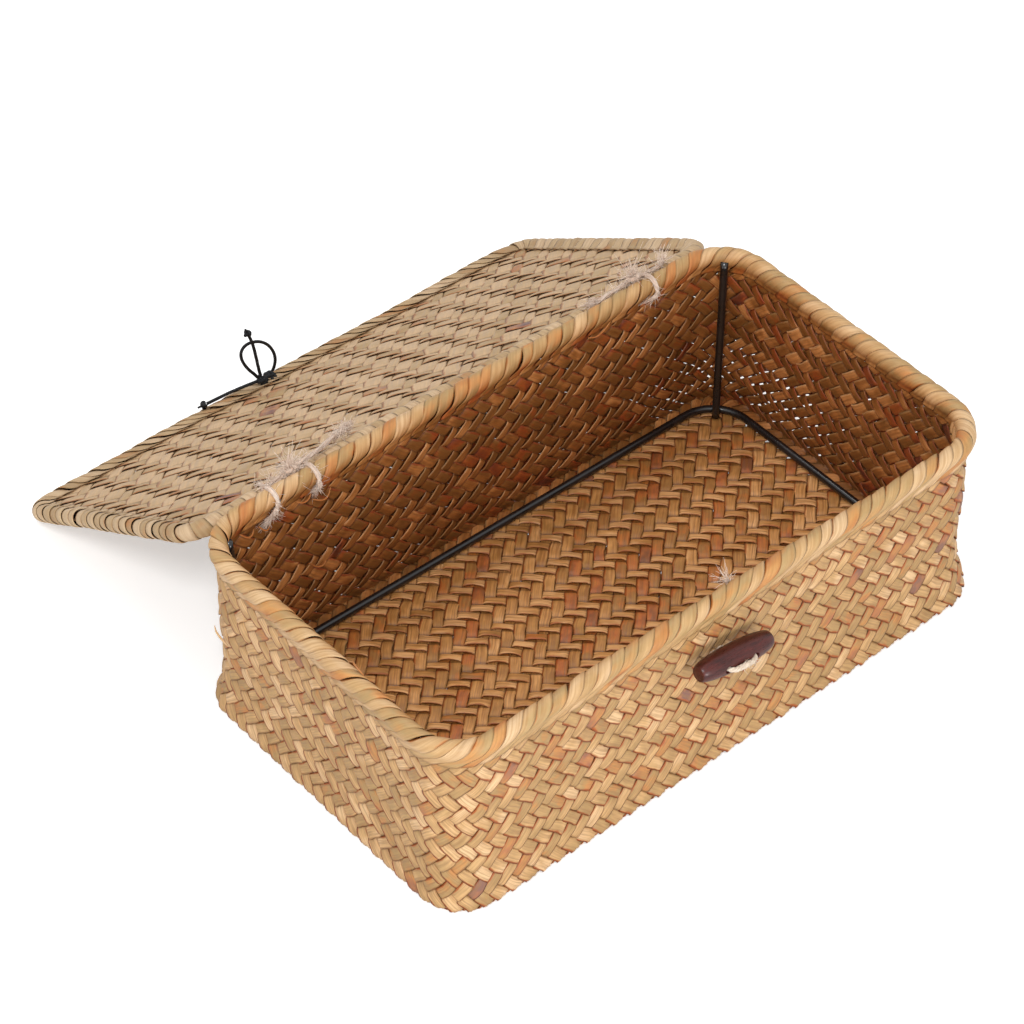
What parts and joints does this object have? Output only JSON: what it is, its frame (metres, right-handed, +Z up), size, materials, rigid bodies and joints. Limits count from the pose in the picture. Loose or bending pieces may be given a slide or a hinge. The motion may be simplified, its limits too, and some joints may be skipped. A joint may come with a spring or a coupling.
{
  "type": "woven lidded box",
  "caption": "Rectangular plaited grass box on a wire frame, with a flat woven lid on twine ties, a wooden toggle and an elastic loop.",
  "frame": {"origin": "middle of the underside, on the surface that the box stands on", "axes": "+X along the box's length, -Y out of the front wall where the toggle is, +Z up"},
  "size_m": [0.349, 0.3772, 0.1131],
  "materials": {
    "grass_weave": "matt plaited flat grass strips, straw and tan with orange streaks",
    "grass_wrap": "satin wound grass strip, golden straw",
    "lid_weave": "matt plaited flat grass strips, paler greyish beige",
    "black_wire": "satin black",
    "jute_twine": "hairy natural twine",
    "dark_wood": "varnished dark red-brown wood",
    "cream_twine": "soft cream twine",
    "black_elastic": "black braided elastic cord"
  },
  "bodies": {
    "box": {"woven_tub": "grass_weave", "rim_wrap": "grass_wrap", "bottom_wire_ring": "black_wire", "top_wire_ring": "black_wire", "corner_post_back_right": "black_wire", "corner_post_back_left": "black_wire", "corner_post_front_left": "black_wire", "corner_post_front_right": "black_wire", "toggle_stem_knot": "cream_twine"},
    "ties": {"hinge_tie_left": "jute_twine", "hinge_tie_right": "jute_twine"},
    "lid": {"lid_panel": "lid_weave", "lid_border": "grass_wrap", "lid_wire_ring": "black_wire"},
    "loop": {"loop_knot": "black_elastic", "elastic_loop": "black_elastic", "loop_tail_up": "black_elastic", "loop_tail_side": "black_elastic", "tail_knot_up": "black_elastic", "tail_knot_side": "black_elastic"},
    "toggle": {"toggle": "dark_wood", "toggle_twine": "cream_twine"}
  },
  "joints": [
    {"name": "lid_swing", "type": "hinge", "parent": "box", "child": "ties", "pos_m": [0, 0.095, 0.1055], "axis": [1, 0, 0], "range_deg": [0, 156.3]},
    {"name": "lid_turn", "type": "hinge", "parent": "ties", "child": "lid", "pos_m": [0, 0.10418, 0.09981], "axis": [1, 0, 0], "range_deg": [0, 56]},
    {"name": "loop_swing", "type": "hinge", "parent": "lid", "child": "loop", "pos_m": [-0.0195, 0.25329, 0.0063], "axis": [1, 0, 0], "range_deg": [-131.5, 0]},
    {"name": "toggle_swivel", "type": "hinge", "parent": "box", "child": "toggle", "pos_m": [-0.0073, -0.10623, 0.0764], "axis": [0, 1, 0], "range_deg": [-60, 60]}
  ],
  "couplings": [
    {"joint": "lid_turn", "follows": "lid_swing", "ratio": 0.35696},
    {"joint": "loop_swing", "follows": "lid_swing", "ratio": -0.8387}
  ]
}
